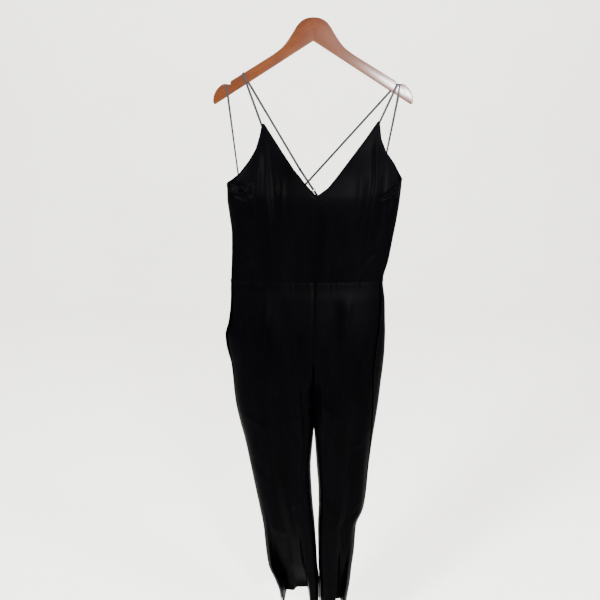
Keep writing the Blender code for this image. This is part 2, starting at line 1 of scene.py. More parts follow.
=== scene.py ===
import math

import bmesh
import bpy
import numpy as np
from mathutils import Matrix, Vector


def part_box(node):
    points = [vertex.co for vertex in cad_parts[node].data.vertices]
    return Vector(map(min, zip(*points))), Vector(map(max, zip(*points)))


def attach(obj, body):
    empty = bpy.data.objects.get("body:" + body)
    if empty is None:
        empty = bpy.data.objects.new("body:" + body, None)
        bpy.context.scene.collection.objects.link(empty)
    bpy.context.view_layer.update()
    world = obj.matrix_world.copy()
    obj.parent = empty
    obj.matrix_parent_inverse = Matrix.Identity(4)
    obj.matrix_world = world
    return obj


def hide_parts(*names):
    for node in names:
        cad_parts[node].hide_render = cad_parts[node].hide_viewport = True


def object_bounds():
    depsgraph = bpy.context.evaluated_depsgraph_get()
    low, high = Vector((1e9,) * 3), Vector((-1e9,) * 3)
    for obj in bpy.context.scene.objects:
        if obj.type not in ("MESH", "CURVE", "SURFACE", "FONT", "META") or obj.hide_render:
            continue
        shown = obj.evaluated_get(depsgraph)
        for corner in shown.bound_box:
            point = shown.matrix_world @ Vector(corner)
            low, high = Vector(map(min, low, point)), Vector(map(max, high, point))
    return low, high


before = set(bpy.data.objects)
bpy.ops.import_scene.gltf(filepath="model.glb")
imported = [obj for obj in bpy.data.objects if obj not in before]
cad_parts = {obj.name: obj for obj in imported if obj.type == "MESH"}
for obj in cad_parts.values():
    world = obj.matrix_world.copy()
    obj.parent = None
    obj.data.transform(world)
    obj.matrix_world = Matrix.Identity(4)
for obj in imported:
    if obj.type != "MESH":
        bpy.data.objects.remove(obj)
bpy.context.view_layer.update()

# Looks of a sleeveless velvet jumpsuit with narrow straps on a wooden hanger.
# Metres, in the frame of the imported model: the origin is the apex of the
# hanger's underside, -Y is the garment's front.  Every cloth panel is a thin
# shell on its solid's surface: a ring at each height, by tables of its width and
# depth, with the folds and creases that lie on it listed one by one.

MM = 0.001

CAD_CLOTH = 1.5 * MM  # the CAD panels' thickness, which places what is sewn inside them
CLOTH = 1.1 * MM  # thickness of a panel
TURNED = 0.9 * MM  # what a turned edge adds to it
SEAM = 0.3 * MM  # gap between two pieces at a seam
SEAM_SINK = 0.9 * MM  # how deep the cloth lies at a seam
SEAM_SOFT = 3.5 * MM  # how wide that ditch is
EDGE_TURN = 9 * MM  # depth of the turned upper edge
EDGE_STITCH = (7 * MM, 1.6 * MM, 0.5 * MM)  # its stitches: how far in, how wide, how deep
HEM_TURN = 26 * MM
HEM_STITCH = (25 * MM, 2 * MM, 0.4 * MM)
GATHER = 0.55 * MM  # height of the puckers at the waist
GATHER_REACH = 16 * MM  # how far from the seam they run
WAIST_Z = (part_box("bodice_front")[0][2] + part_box("trouser_front_left")[1][2]) / 2
CROTCH_Z = -812 * MM
RISE_TOP_Z = -640 * MM  # where the front and back rise begin to curve in
RISE_LEAD = 40 * MM  # how much higher the cloth away from the middle begins to part
RISE_SPREAD = 150 * MM  # how much longer that takes it
HEM_FULL_Z = -1460 * MM  # where the pushes at the hems are at their deepest
CENTRE_X = 4 * MM
WOOD = 12 * MM  # hanger thickness
WOOD_ROUND = 1.5 * MM
ARM_FALL = 0.606  # drop of the hanger's underside for each unit outwards
ARM_TOP = (87.5 * MM, -27.6 * MM)  # where the upper edge becomes straight, x and z
ARM_TOP_FALL = 0.583
GRAIN_LEAN = math.radians(31)  # the arms' slope, which the wood's grain follows
ARM_UP = (0.864, 0.504)  # along the left arm's upper edge, towards the middle, x and z
NOTCH = (183.4 * MM, 193.8 * MM)  # from the middle, inner and outer wall
NOTCH_Z = -89.9 * MM
NOTCH_EASE = 0.4 * MM  # how far before the notch the upper edge ends
MITRE_GAP = 0.05 * MM  # between each half of the hanger and the middle
STRAP_WIDTH = 5.2 * MM
STRAP = 1.2 * MM
LOOP_WIDTH = 3.6 * MM
LOOP = 0.8 * MM
RING_RADIUS = 4 * MM
RING_WIRE = 0.8 * MM  # radius of the ring's wire
RING_INSET = 0.27 * MM  # how far in from the wire's middle a ribbon's turn is centred
RING_TURN = RING_WIRE + RING_INSET + SEAM + STRAP / 2  # radius of that turn
STRAP_APART = 1.3 * MM  # from a slider's middle to each layer of its strap
STRAP_TAIL = 4 * MM  # what shows of a strap's end past its slider
STRAP_STEP = 6 * MM  # longest straight stretch of a strap
TAB_STEP = 4 * MM
SLIDER_ROUND = 0.16 * MM
# How far the middle of a tab and of a loop's end lies inside the back's inner face.
TAB_DEPTH = {"left": 2.5 * MM, "right": 3.2 * MM}
LOOP_DEPTH = {"left": 2.6 * MM, "right": 2.1 * MM}


def table(columns, *rows):
    """{column name: its values in metres} from rows in millimetres.  What runs to 1000
    comes out as a share of 1."""
    return {name: np.array(values) * MM for name, values in zip(columns.split(), zip(*rows))}


# Rings round the body: outer edges at each side, and how far the front and the
# back stand out from the side seams.
BODY = table(
    "z left right front back",
    (-160, -197, 205, 9, 8),
    (-230, -197, 205, 18, 14),
    (-300, -197, 205, 33, 25),
    (-340, -197, 202.5, 38, 30),
    (-381, -193, 198, 36, 31),
    (-423, -189, 191.5, 31, 29),
    (-488, -191, 181, 26, 26),
    (-538, -194.5, 170, 24, 25),
    (-588, -196.3, 176, 31, 32),
    (-640, -203, 178.5, 38, 39),
    (-675, -212, 180, 41, 43),
    (-703, -210, 180, 42, 45),
    (-748, -200, 178, 42, 46),
    (-794, -195.6, 174, 42, 46),
    (-852, -190.6, 169, 42, 46),
)

# Rings round the legs, from the crotch down.
LEGS = table(
    "z left_out left_in right_in right_out front back",
    (-812, -194.4, 3.8, 4.2, 172.6, 42, 46),
    (-852, -190.6, 4.6, 5.4, 169.2, 41, 45),
    (-905, -181, 6.0, 7.0, 163.2, 40, 43),
    (-952, -170.3, 3.5, 10.5, 157.5, 38, 41),
    (-1040, -155, -2.5, 16.6, 149.5, 36, 38),
    (-1110, -143.2, 0.5, 21.5, 145.3, 35, 37),
    (-1155, -135.5, 3.8, 22.2, 139.5, 34, 37),
    (-1212, -126.3, 9.0, 20.8, 121, 33, 37),
    (-1290, -120, 14.2, 22.0, 117, 31, 40),
    (-1338, -114, 17.0, 23.0, 112, 30, 46),
    (-1390, -95, 22.0, 25.6, 107.5, 30, 53),
    (-1425, -84.5, 23.0, 26.6, 103, 29, 57),
    (-1468, -79, 23.5, 27.2, 97.5, 29, 59),
)

# Upper edge of the front, by how far across it is from left to right.
FRONT_EDGE = table(
    "across z",
    (0, -303),
    (58.7, -284),
    (118, -254),
    (156, -229),
    (180, -199),
    (193, -174),
    (207.5, -173.5),
    (309, -234),
    (380, -274),
    (450.8, -306),
    (522, -332),
    (583, -314),
    (637.3, -286),
    (717, -246.5),
    (796, -206.5),
    (865, -168.2),
    (876, -169),
    (888, -207),
    (914, -233),
    (963.4, -261),
    (1000, -291),
)

# Upper edge of the back, the same way.
BACK_EDGE = table(
    "across z",
    (0, -306),
    (150, -321),
    (350, -346),
    (500, -352.5),
    (650, -346),
    (850, -318),
    (1000, -294),
)

# How far each side seam lies inwards from the edge of the ring, on the front.
SIDE_SEAMS = table(
    "z left right",
    (-290, 0.5, 0.5),
    (-450, 1, 3),
    (-538, 2, 6),
    (-600, 3, 11),
    (-748, 3, 26),
    (-830, 1, 18),
    (-1000, 1, 4),
    (-1468, 1, 1),
)

# How far a pocket's mouth gapes, measured along the front from the side seam.
POCKET_MOUTHS = table(
    "z left right",
    (-562, 0, 0),
    (-600, 4, 3),
    (-660, 8, 5),
    (-700, 7, 4),
    (-745, 0, 0),
)
POCKET_TOP_Z = -556 * MM
POCKET_END_Z = -752 * MM
POCKET_GAP = 1.0 * MM  # from the front's inner face to the facing
POCKET_TURN = 0.62  # how far round the ring the facing runs in from the side seam
POCKET_COLUMNS = 14
POCKET_ROWS = 60


# Folds and creases, each a row.  across runs from 0 at the outer side to 1000 at
# the middle of the garment (on the bodice, at the other side).  bow bends a row
# sideways, wide is its half width, out is how far the cloth moves outwards (less
# than nothing for a trough), and lean makes one flank steeper than the other.
COLUMNS = "across_top z_top across_end z_end bow wide out lean"
FOLDS = {
    "bodice_front": table(
        COLUMNS,
        # from the strap points down
        (208, -190, 232, -505, 6, 9, 3.2, 0.4),
        (190, -235, 180, -420, -4, 7, -2.0, 0.2),
        (250, -240, 275, -500, 5, 10, -2.4, -0.3),
        (300, -262, 318, -470, 3, 8, 1.6, 0.1),
        (862, -185, 838, -470, -5, 9, 3.4, -0.4),
        (835, -240, 806, -500, -4, 9, -2.2, 0.3),
        (884, -250, 893, -420, 3, 7, -1.8, 0.0),
        (760, -262, 752, -455, 2, 8, 1.4, 0.0),
        # soft pulls below the V and at the middle
        (516, -350, 512, -532, 2, 14, -1.6, 0.0),
        (455, -385, 440, -536, 4, 10, 1.3, 0.2),
        (590, -380, 603, -536, -4, 11, 1.4, -0.2),
        (660, -420, 668, -537, 3, 9, -1.2, 0.0),
        (380, -430, 368, -537, -3, 9, -1.1, 0.0),
        # bust darts with the crush round them
        (4, -317, 128, -324, -2, 3.2, 6.0, 0.4),
        (10, -308, 110, -315, 3, 3.0, -4.2, -0.2),
        (12, -336, 128, -353, 2, 5.0, 1.8, 0.1),
        (60, -300, 75, -332, 1, 3.4, 1.6, 0.0),
        (100, -309, 112, -345, -1, 3.0, -1.5, 0.2),
        (141, -303, 138, -326, 1, 2.4, 3.4, 0.0),
        (142, -329, 120, -354, 1, 2.4, 3.0, 0.3),
        (996, -305, 872, -338, 3, 4.0, -2.6, -0.3),
        (990, -318, 880, -352, -2, 4.6, 1.8, 0.0),
        (984, -296, 962, -338, 3, 3.6, 3.6, 0.2),
        (958, -300, 930, -372, 2, 4.0, -1.6, 0.0),
        # drag lines towards the waist
        (20, -400, 130, -520, 6, 9, 1.6, 0.2),
        (985, -385, 880, -515, -6, 10, 1.7, -0.2),
        (60, -455, 230, -531, 4, 7, -1.3, 0.0),
        (940, -450, 790, -530, -4, 7, -1.3, 0.0),
    ),
    "bodice_back": table(
        COLUMNS,
        (330, -352, 352, -532, 5, 14, 3.0, 0.3),
        (430, -362, 418, -530, -4, 10, -2.0, 0.0),
        (620, -350, 600, -532, -5, 15, -2.8, 0.2),
        (700, -346, 716, -505, 4, 9, 1.9, -0.2),
        (520, -372, 528, -534, 3, 11, 1.6, 0.0),
        (180, -335, 160, -520, -3, 10, -1.8, 0.1),
        (820, -330, 836, -520, 3, 10, -1.7, 0.0),
        (20, -318, 140, -345, -2, 4.5, -2.0, 0.2),
        (980, -308, 860, -340, 2, 4.5, -1.9, -0.2),
        (60, -430, 220, -528, 5, 8, 1.5, 0.0),
        (930, -440, 780, -530, -5, 8, 1.4, 0.0),
    ),
    "front_left": table(
        COLUMNS,
        (600, -556, 640, -900, 6, 12, -3.2, 0.2),
        (455, -552, 430, -760, -5, 9, 2.2, 0.3),
        (740, -600, 702, -1440, 10, 12, 4.6, 0.4),
        (420, -740, 430, -1430, -9, 17, -5.2, 0.2),
        (300, -700, 260, -1180, 6, 12, 2.6, -0.3),
        (560, -1020, 590, -1300, -6, 10, 2.2, 0.1),
        (868, -690, 850, -960, 3, 8, -2.4, 0.0),
        (180, -620, 120, -760, 4, 7, 1.8, 0.2),
        (60, -870, 330, -935, 9, 10, 1.7, 0.3),
        (90, -990, 420, -1075, -8, 11, -1.6, 0.0),
        (980, -830, 690, -905, 7, 9, 2.3, 0.2),
        (985, -862, 740, -960, 6, 8, -2.0, 0.0),
        (950, -1080, 560, -1150, 8, 10, 1.8, 0.1),
        (120, -1190, 480, -1240, -6, 11, 1.6, 0.0),
    ),
    "front_right": table(
        COLUMNS,
        (700, -566, 720, -860, -5, 12, -3.0, 0.2),
        (520, -560, 500, -720, 4, 9, 2.4, -0.3),
        (600, -690, 560, -1450, -9, 12, 4.8, 0.4),
        (330, -800, 330, -1450, 7, 15, -5.4, -0.2),
        (850, -650, 838, -950, 3, 8, 2.2, 0.1),
        (180, -880, 160, -1280, -5, 10, 2.4, 0.0),
        (760, -980, 790, -1340, 5, 9, -2.4, 0.2),
        (930, -700, 900, -930, 2, 7, -2.2, 0.0),
        (975, -835, 660, -915, -7, 9, 2.2, 0.2),
        (120, -905, 430, -980, -7, 10, 1.6, 0.2),
        (940, -1120, 600, -1180, 6, 10, 1.6, 0.0),
        (100, -1130, 420, -1190, -6, 9, -1.6, 0.1),
    ),
    "back_left": table(
        COLUMNS,
        (560, -610, 560, -1440, 9, 17, -5.4, 0.2),
        (300, -680, 300, -1300, -8, 14, 4.0, 0.3),
        (780, -700, 760, -1210, 6, 11, 3.0, -0.2),
        (860, -840, 850, -1380, -4, 10, -2.6, 0.0),
        (430, -560, 400, -760, 5, 10, 2.2, 0.0),
        (150, -820, 170, -1240, 4, 10, -2.4, 0.1),
        (970, -800, 640, -900, -9, 10, 2.6, 0.2),
        (985, -850, 700, -950, -7, 8, -2.0, 0.0),
        (90, -930, 460, -1010, 8, 11, 1.8, 0.1),
        (930, -1130, 520, -1190, -7, 10, 1.8, 0.0),
    ),
    "back_right": table(
        COLUMNS,
        (520, -610, 540, -1440, -9, 16, -5.4, -0.2),
        (780, -780, 760, -1400, 7, 13, 4.0, 0.3),
        (300, -700, 270, -1260, -6, 12, 3.0, 0.2),
        (400, -556, 430, -770, 4, 10, 2.0, 0.0),
        (120, -860, 150, -1290, 4, 9, -2.2, 0.0),
        (970, -806, 620, -890, 8, 10, 2.6, 0.2),
        (90, -950, 450, -1030, -8, 11, 1.8, 0.1),
        (920, -1090, 560, -1160, 7, 10, 1.6, 0.0),
    ),
}

# Where the cloth is pushed in from the front towards the hem, between two places across.
HEM_COLUMNS = "start end soft depth z_top"
HEM_FOLDS = {
    "front_left": table(HEM_COLUMNS, (150, 690, 90, 60, -1130), (430, 690, 120, 15, -1330)),
    "front_right": table(HEM_COLUMNS, (215, 350, 90, 40, -1230)),
}
HEM_Z = {"left": -1455 * MM, "right": -1466 * MM}


# ---- smooth values, for whole arrays at a time ---------------------------


def slopes(xs, ys):
    """Slopes at each row of a table that keep a cubic through it from overshooting."""
    steps = np.diff(ys) / np.diff(xs)
    inner = np.where(
        steps[:-1] * steps[1:] > 0,
        2 * steps[:-1] * steps[1:] / (steps[:-1] + steps[1:] + 1e-12),
        0,
    )
    return np.concatenate([steps[:1], inner, steps[-1:]])


def read(rows, column, at, key="z"):
    """A column's values at the places given, on a smooth curve through the rows."""
    xs, ys = rows[key], rows[column]
    if xs[0] > xs[-1]:
        xs, ys = xs[::-1], ys[::-1]
    at = np.clip(at, xs[0], xs[-1])
    i = np.clip(np.searchsorted(xs, at, side="right") - 1, 0, len(xs) - 2)
    slope = slopes(xs, ys)
    h = xs[i + 1] - xs[i]
    t = (at - xs[i]) / h
    return (
        (2 * t**3 - 3 * t**2 + 1) * ys[i]
        + (t**3 - 2 * t**2 + t) * h * slope[i]
        + (3 * t**2 - 2 * t**3) * ys[i + 1]
        + (t**3 - t**2) * h * slope[i + 1]
    )


def step(t):
    """0 below 0, 1 above 1, and smooth between."""
    t = np.clip(t, 0.0, 1.0)
    return t * t * (3 - 2 * t)


def place(x, z, y=0.0):
    """A point from millimetres: across, up, and then back."""
    return Vector((x * MM, y * MM, z * MM))


def smooth_path(points, per_span):
    """Points on a Catmull-Rom curve through the given points."""
    points = [Vector(p) for p in points]
    ends = [2 * points[0] - points[1]] + points + [2 * points[-1] - points[-2]]
    path = []
    for a, b, c, d in zip(ends, ends[1:], ends[2:], ends[3:]):
        for k in range(per_span):
            t = k / per_span
            path.append(
                0.5
                * (2 * b + (c - a) * t + (2 * a - 5 * b + 4 * c - d) * t**2
                   + (3 * b - a - 3 * c + d) * t**3)
            )
    return path + [points[-1]]


# ---- meshes and objects --------------------------------------------------


def linked(name, data):
    """A new object in the scene, for a mesh, a light or a camera."""
    made = bpy.data.objects.new(name, data)
    bpy.context.scene.collection.objects.link(made)
    return made


def smooth_mesh(made, mesh, sharp):
    """Ends the work on a bmesh: smooth but for edges that turn by more than sharp degrees."""
    made.to_mesh(mesh)
    made.free()
    mesh.shade_smooth()
    mesh.set_sharp_from_angle(angle=math.radians(sharp))


# ---- the cloth's surface -------------------------------------------------


def flatten(depth):
    """A ring's half-round depth, from -1 to 1, made a little flatter in the middle."""
    return depth * (1 + 0.35 * (1 - depth * depth))


def row_by_row(rows, columns):
    """The rows of a table, one after another."""
    return zip(*(rows[column] for column in columns.split()))


def crease_out(rows, across, width, z):
    """How far the folds and creases of one panel move its cloth outwards."""
    out = np.zeros_like(z)
    ends = 0.3  # share of a fold's length over which it fades at each end
    for top, z_top, end, z_end, bow, wide, high, lean in row_by_row(rows, COLUMNS):
        dx, dz = (end - top) * width, z_end - z_top
        length2 = dx**2 + dz**2
        px, pz = across * width - top * width, z - z_top
        t = np.clip((px * dx + pz * dz) / length2, 0, 1)
        side = (px * dz - pz * dx) / np.sqrt(length2)
        side = side + bow * 4 * t * (1 - t) + 0.35 * bow * np.sin(9 * t + 40 * bow / MM)
        past = np.hypot(px - t * dx, pz - t * dz)
        beyond = np.sqrt(np.maximum(past**2 - side**2, 0)) * ((t <= 0) | (t >= 1))
        spread = wide * (1 + lean / MM * np.tanh(side / wide))  # a lean isn't in millimetres
        fade = step(t / ends + 0.02) * step((1 - t) / ends + 0.02)
        out += high * fade * np.exp(-((side / spread) ** 2) - (beyond / wide) ** 2)
    return out


def hem_push(rows, across, z):
    """How far the cloth is pushed in near a hem."""
    push = np.zeros_like(z)
    for start, end, soft, depth, z_top in row_by_row(rows, HEM_COLUMNS):
        grow = step((z_top - z) / (z_top - HEM_FULL_Z)) ** 1.3
        begun, unended = (across - start + soft) / soft, (end + soft - across) / soft
        push += depth * grow * step(begun) * step(unended)
    return push


def body_surface(z, angle):
    """Points of the bodice's ring: angle 0 at the left, round the front to pi at the
    right, and on round the back.  Also how far across each is and how far round."""
    left, right = read(BODY, "left", z), read(BODY, "right", z)
    across = (1 - np.cos(angle)) / 2
    half_round = flatten(np.sin(angle))
    deepest = np.where(np.sin(angle) > 0, read(BODY, "front", z), read(BODY, "back", z))
    points = np.stack([left + (right - left) * across, -(deepest * half_round), z], axis=-1)
    return points, across, np.abs(half_round)


def rise_blend(z, across):
    """0 where the ring goes round the hips, 1 where it goes round one leg.  At the
    middle seam it follows the quarter round of the rise, down to the crotch."""
    t = np.clip((RISE_TOP_Z - z) / (RISE_TOP_Z - CROTCH_Z), 0.0, 1.0)
    rise = 1 - np.sqrt(1 - t * t)
    away = step((RISE_TOP_Z + RISE_LEAD - z) / (RISE_TOP_Z - CROTCH_Z + RISE_SPREAD))
    return away + (rise - away) * across**6


def leg_edges(side, z):
    """x of a trouser half's outer edge and of its inner edge."""
    outer = np.where(z > CROTCH_Z, read(BODY, side, z), read(LEGS, side + "_out", z))
    inner = np.where(z > CROTCH_Z, CENTRE_X, read(LEGS, side + "_in", z))
    return outer, inner


def leg_surface(side, z, angle):
    """Points of one half of the trousers: angle 0 at the outer side, positive round
    the front to pi at the middle or inner leg, negative round the back."""
    outer, inner = leg_edges(side, z)
    across = (1 - np.cos(angle)) / 2
    blend = rise_blend(z, across)
    hip_round = flatten(np.sin(angle / 2) * np.sqrt(2 - across))
    leg_round = flatten(np.sin(angle))
    half_round = (1 - blend) * hip_round + blend * leg_round
    front = angle > 0
    over = z > CROTCH_Z
    depth_front = np.where(over, read(BODY, "front", z), read(LEGS, "front", z))
    depth_back = np.where(over, read(BODY, "back", z), read(LEGS, "back", z))
    depth = np.where(front, depth_front, depth_back) * half_round
    push = hem_push(HEM_FOLDS["front_" + side], across, z) * np.minimum(np.abs(leg_round) * 2, 1)
    depth = depth - np.where(front, push, 0)
    points = np.stack([outer + (inner - outer) * across, -depth, z], axis=-1)
    return points, across, np.abs(leg_round)


def grid_normals(points, turn):
    """Outward unit normals of a grid of points, columns first."""
    across = np.gradient(points, axis=0)
    up = np.gradient(points, axis=1)
    out = np.cross(across, up) * turn
    return out / np.maximum(np.linalg.norm(out, axis=-1, keepdims=True), 1e-9)


def shell_object(name, outer, inner):
    """A closed mesh between two grids of points, smooth but for its rim."""
    columns, rows = outer.shape[:2]
    count = columns * rows
    place_of = np.arange(count).reshape(columns, rows)
    a, b = place_of[:-1, :-1].ravel(), place_of[1:, :-1].ravel()
    c, d = place_of[1:, 1:].ravel(), place_of[:-1, 1:].ravel()
    skin = np.stack([a, b, c, d], axis=1)
    rim = np.concatenate(
        [place_of[:, 0], place_of[-1, 1:], place_of[-2::-1, -1], place_of[0, -2:0:-1]]
    )
    after = np.roll(rim, -1)
    edge = np.stack([rim, rim + count, after + count, after], axis=1)
    faces = np.concatenate([skin, skin[:, ::-1] + count, edge])
    verts = np.concatenate([outer.reshape(-1, 3), inner.reshape(-1, 3)])
    mesh = bpy.data.meshes.new(name)
    mesh.from_pydata(verts, [], faces.tolist())
    made = bmesh.new()
    made.from_mesh(mesh)
    bmesh.ops.recalc_face_normals(made, faces=made.faces)
    smooth_mesh(made, mesh, 55)
    return linked(name, mesh)


def cloth_piece(name, node, base, turn, across, half_round, rows, turned, ditch):
    """A panel from its plain surface: folds, the ditch at its seams, and the shell.
    turned is 1 where the cloth is double at an edge, ditch is how far it sinks."""
    points, z = base, base[..., 2]
    width = np.abs(points[-1, :, 0] - points[0, :, 0]).mean()
    out = grid_normals(points, turn)
    lift = crease_out(rows, across, width, z) * np.minimum(half_round * 1.6, 1) if rows else 0
    outer = points + out * (lift - ditch)[..., None]
    out = grid_normals(outer, turn)
    inner = outer - out * (CLOTH + TURNED * turned)[..., None]
    piece = shell_object(name, outer, inner)
    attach(piece, "root")
    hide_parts(node)
    return piece, outer


def seam_ditch(distance):
    """How deep the cloth sinks at a distance from a seam."""
    return SEAM_SINK * np.exp(-((distance / SEAM_SOFT) ** 2))


def stitch_ditch(distance, stitch):
    """How deep a row of stitches draws it in, at a distance from a turned edge."""
    at, soft, deep = stitch
    return deep * np.exp(-(((distance - at) / soft) ** 2))


# ---- bodice --------------------------------------------------------------

BODICE_COLUMNS = 190
BACK_COLUMNS = 130
BODICE_ROWS = 110


def seam_angle(width, inset):
    """The ring's angle where its edge has come in by inset."""
    return np.arccos(1 - 2 * inset / np.abs(width))


def bodice_panel(name, edge, columns, face):
    """The front (face 1) or the back (-1), from the waist seam up to its edge."""
    share = (1 - np.cos(np.linspace(0, math.pi, columns))) / 2
    for corner in edge["across"][1:-1]:
        share[np.argmin(np.abs(share - corner))] = corner
    top = np.interp(share, edge["across"], edge["z"])
    t = np.linspace(0, 1, BODICE_ROWS)[None, :]
    low = WAIST_Z + SEAM / 2
    z = low + (top[:, None] - low) * t
    width = read(BODY, "right", z) - read(BODY, "left", z)
    start = seam_angle(width, read(SIDE_SEAMS, "left", z))
    end = math.pi - seam_angle(width, read(SIDE_SEAMS, "right", z))
    if face < 0:
        start = start + 2 * math.pi
    round_share = (np.arccos(1 - 2 * share) / math.pi)[:, None]
    angle = start + (end - start) * round_share
    points, across, half_round = body_surface(z, angle)
    gathers = waist_gathers(across, z, low)
    below_edge = top[:, None] - z
    turned = 1 - step(below_edge / EDGE_TURN)
    ditch = seam_ditch(z - low) + stitch_ditch(below_edge, EDGE_STITCH) - gathers
    return cloth_piece(
        name + "_cloth", name, points, 1, across, half_round, FOLDS[name], turned, ditch
    )


def waist_gathers(across, z, seam_z):
    """Small uneven puckers that fade out a little way from the waist seam."""
    away = np.abs(z - seam_z)
    wave = np.sin(across * 96) + 0.7 * np.sin(across * 143 + 1.7) + 0.5 * np.sin(across * 61 + 0.4)
    strength = 0.55 + 0.45 * np.sin(across * 17 + 2)
    return GATHER * wave * strength * np.exp(-((away / GATHER_REACH) ** 1.4))


# ---- trousers ------------------------------------------------------------

TROUSER_COLUMNS = 84
TROUSER_ROWS = 330


def trouser_panel(side, face):
    """Half of a trouser leg and hip: face 1 is the front, -1 the back."""
    hand = 1 if side == "left" else -1
    facing = "front" if face > 0 else "back"
    z = np.linspace(WAIST_Z - SEAM / 2, HEM_Z[side], TROUSER_ROWS)[None, :]
    z = z + np.zeros((TROUSER_COLUMNS, 1))
    outer_x, inner_x = leg_edges(side, z)
    start = seam_angle(inner_x - outer_x, read(SIDE_SEAMS, side, z))
    if face > 0:
        mouth_top, mouth_end = POCKET_MOUTHS["z"][0], POCKET_MOUTHS["z"][-1]
        for_each_turn = np.abs(read(BODY, "front", z)) * 1.2  # cloth in a radian of the ring
        gape = read(POCKET_MOUTHS, side, z) / for_each_turn
        start = start + gape * (z > mouth_end) * (z < mouth_top)
    share = np.linspace(0, 1, TROUSER_COLUMNS)[:, None] ** 1.15
    angle = start + (face * math.pi - start) * share
    points, across, half_round = leg_surface(side, z, angle)
    last = points[-1]
    last[:, 0] -= hand * SEAM / 2
    last[:, 1] = np.where(z[-1] > CROTCH_Z, last[:, 1], -face * SEAM / 2)
    waist = WAIST_Z - z
    up_from_hem = z - HEM_Z[side]
    turned = 1 - step(up_from_hem / HEM_TURN)
    from_middle = np.linalg.norm(points - points[-1:], axis=-1)
    from_side = np.linalg.norm(points - points[:1], axis=-1)
    ditch = seam_ditch(waist) + seam_ditch(from_middle) + seam_ditch(from_side)
    ditch = ditch + stitch_ditch(up_from_hem, HEM_STITCH)
    ditch = ditch - waist_gathers(across, z, WAIST_Z)
    node = f"trouser_{facing}_{side}"
    return cloth_piece(
        node + "_cloth", node, points, -hand, across, np.minimum(half_round + 0.4 * across, 1),
        FOLDS[f"{facing}_{side}"], turned, ditch,
    )


def pocket_facing(side):
    """The strip that shows in a pocket's mouth, just inside the front."""
    hand = 1 if side == "left" else -1
    z = np.linspace(POCKET_TOP_Z, POCKET_END_Z, POCKET_ROWS)[None, :]
    z = z + np.zeros((POCKET_COLUMNS, 1))
    outer_x, inner_x = leg_edges(side, z)
    start = seam_angle(inner_x - outer_x, read(SIDE_SEAMS, side, z))
    angle = start + np.linspace(0.0, POCKET_TURN, POCKET_COLUMNS)[:, None]
    points, across, half_round = leg_surface(side, z, angle)
    out = grid_normals(points, -hand)
    points = points - out * (CLOTH + POCKET_GAP)
    zero = np.zeros_like(z)
    node = f"pocket_{side}"
    return cloth_piece(node + "_cloth", node, points, -hand, across, half_round, None, zero, zero)


# ---- narrow pieces -------------------------------------------------------


def sweep(name, path, across, section, closed=False):
    """A section carried along a path.  across is the section's width direction, one
    for the whole path or one at each point."""
    made = bmesh.new()
    path = [Vector(p) for p in path]
    count = len(path)
    hints = across if isinstance(across, list) else [across] * count
    rings = []
    for i, point in enumerate(path):
        if closed:
            before, after = path[i - 1], path[(i + 1) % count]
        else:
            before, after = path[max(i - 1, 0)], path[min(i + 1, count - 1)]
        ahead = (after - before).normalized()
        wide = Vector(hints[i])
        wide = (wide - ahead * wide.dot(ahead)).normalized()
        out = ahead.cross(wide)
        rings.append([made.verts.new(point + wide * w + out * o) for w, o in section])
    pairs = list(zip(rings, rings[1:])) + ([(rings[-1], rings[0])] if closed else [])
    corners = len(section)
    for one, two in pairs:
        for k in range(corners):
            m = (k + 1) % corners
            made.faces.new((one[k], one[m], two[m], two[k]))
    if not closed:
        made.faces.new(rings[0])
        made.faces.new(rings[-1])
    bmesh.ops.recalc_face_normals(made, faces=made.faces)
    mesh = bpy.data.meshes.new(name)
    smooth_mesh(made, mesh, 60)
    return linked(name, mesh)


def rounded_section(width, thick, corners=16):
    """A flat ribbon's section with round edges, as a squashed superellipse."""

    def squared(value, size):
        return math.copysign(abs(value) ** 0.55, value) * size / 2

    turns = [2 * math.pi * k / corners for k in range(corners)]
    return [(squared(math.cos(t), width), squared(math.sin(t), thick)) for t in turns]


def ride(piece, node, finish):
    """Puts a piece on the body in place of its CAD node, in its finish."""
    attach(piece, "root")
    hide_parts(node)
    piece.data.materials.clear()
    piece.data.materials.append(finish)
    return piece


def arc(centre, along, out, radius, start, end, steps):
    """Points round centre in the plane of two directions."""
    turns = np.linspace(start, end, steps + 1)
    return [centre + along * (radius * math.cos(t)) + out * (radius * math.sin(t)) for t in turns]


def over_wood(x, z, lean, clear):
    """Centre line over the hanger's upper edge at (x, z), from its front to its back.
    lean is how x changes for each unit down, on the front and on the back."""
    face = WOOD / 2 + clear
    corner = WOOD_ROUND + clear
    points = []
    for sign, slant in ((-1, lean[0]), (1, lean[1])):
        half = []
        for turn in np.linspace(0, math.pi / 2, 8):
            down = corner * (1 - math.sin(turn)) - clear
            y = sign * (face - corner + corner * math.cos(turn))
            half.append(Vector((x + slant * max(down, 0), y, z - down)))
        points += half if sign < 0 else half[::-1]
    return points


def refine(path, hints, length):
    """Extra points on a path's long straight stretches, with hints to match."""
    fine, wide = [path[0]], [hints[0]]
    for one, two, a, b in zip(path, path[1:], hints, hints[1:]):
        count = max(1, int((two - one).length / length))
        for k in range(1, count + 1):
            fine.append(one.lerp(two, k / count))
            wide.append(Vector(a).lerp(Vector(b), k / count))
    return fine, wide


